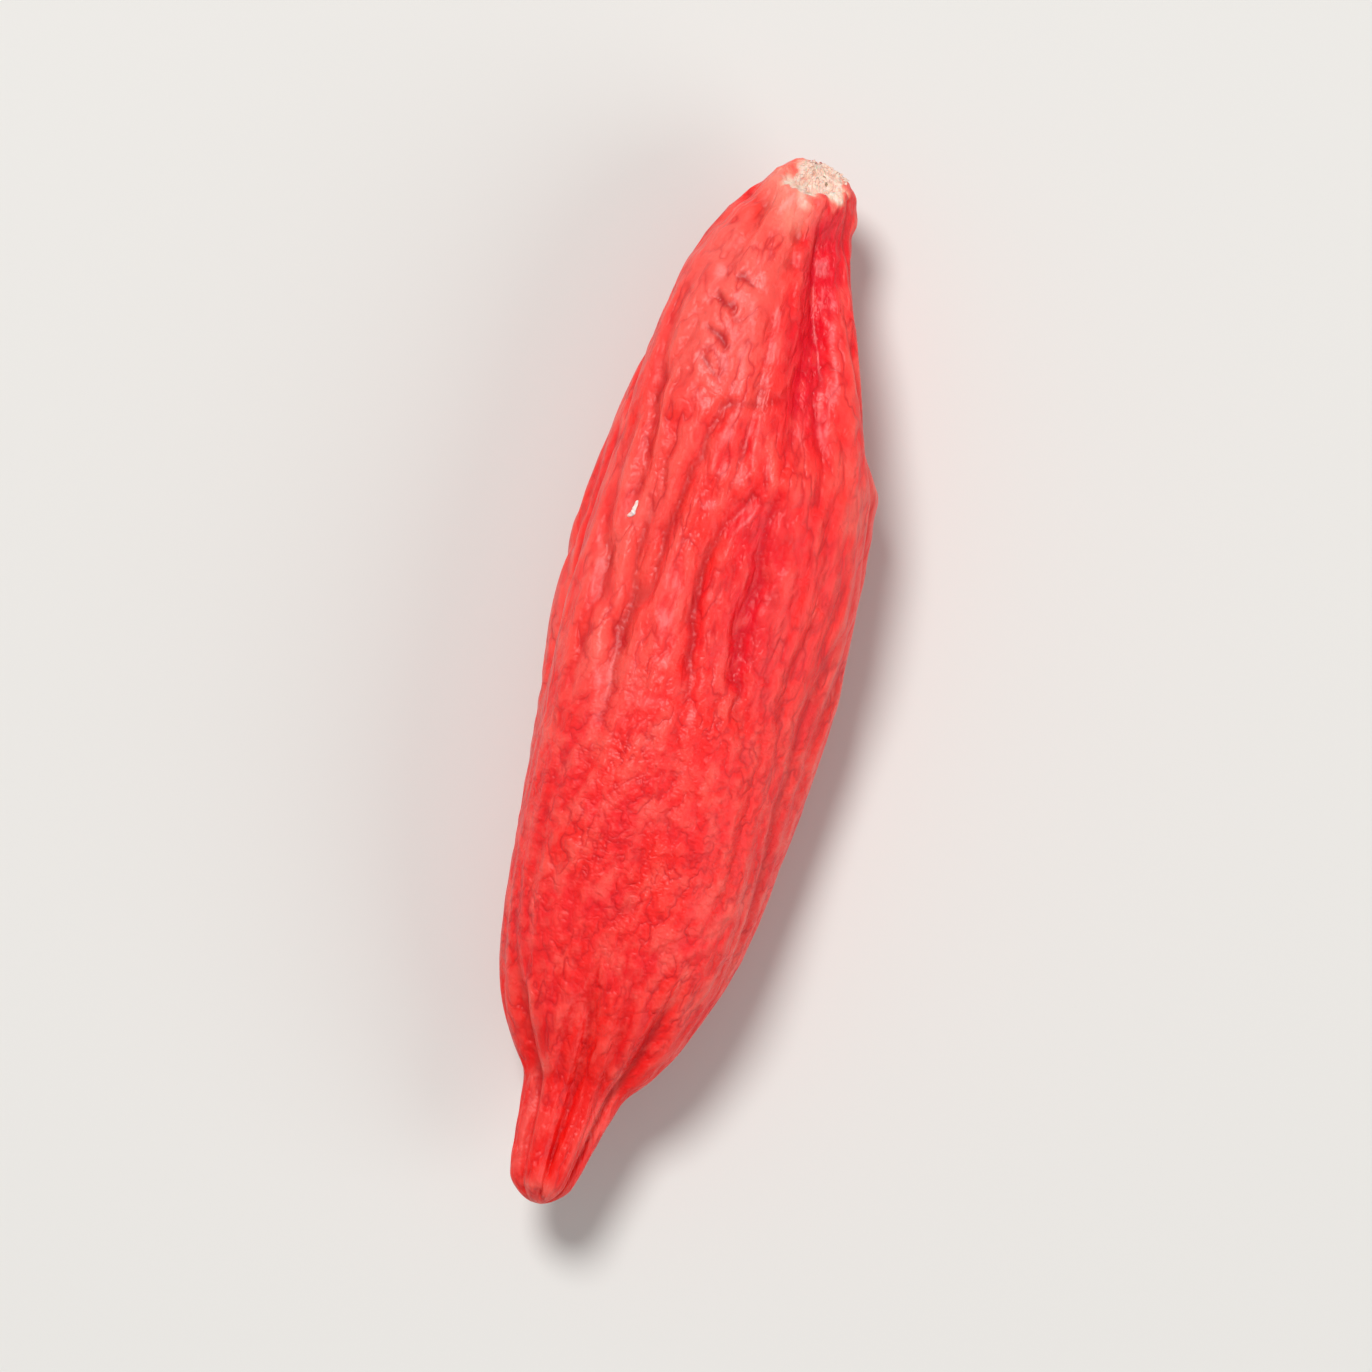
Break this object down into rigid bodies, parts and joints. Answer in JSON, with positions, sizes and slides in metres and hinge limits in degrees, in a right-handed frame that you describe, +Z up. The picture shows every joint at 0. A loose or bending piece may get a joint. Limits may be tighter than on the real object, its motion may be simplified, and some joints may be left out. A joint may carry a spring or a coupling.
{
  "type": "dried goji berry",
  "caption": "Dried goji berry: a wrinkled, spindle-shaped red fruit with a pale stalk scar at one end and a small furrowed nub at the other, lying on its side.",
  "frame": {"origin": "on the ground, below the middle of the berry's box", "axes": "+Y along the berry to the stalk end, +X to the berry's right side seen from above, +Z up"},
  "size_m": [0.005, 0.0178, 0.0038],
  "materials": {
    "skin": "wrinkled, slightly waxy, semi-gloss"
  },
  "bodies": {
    "root": {"berry": "skin"}
  },
  "joints": []
}
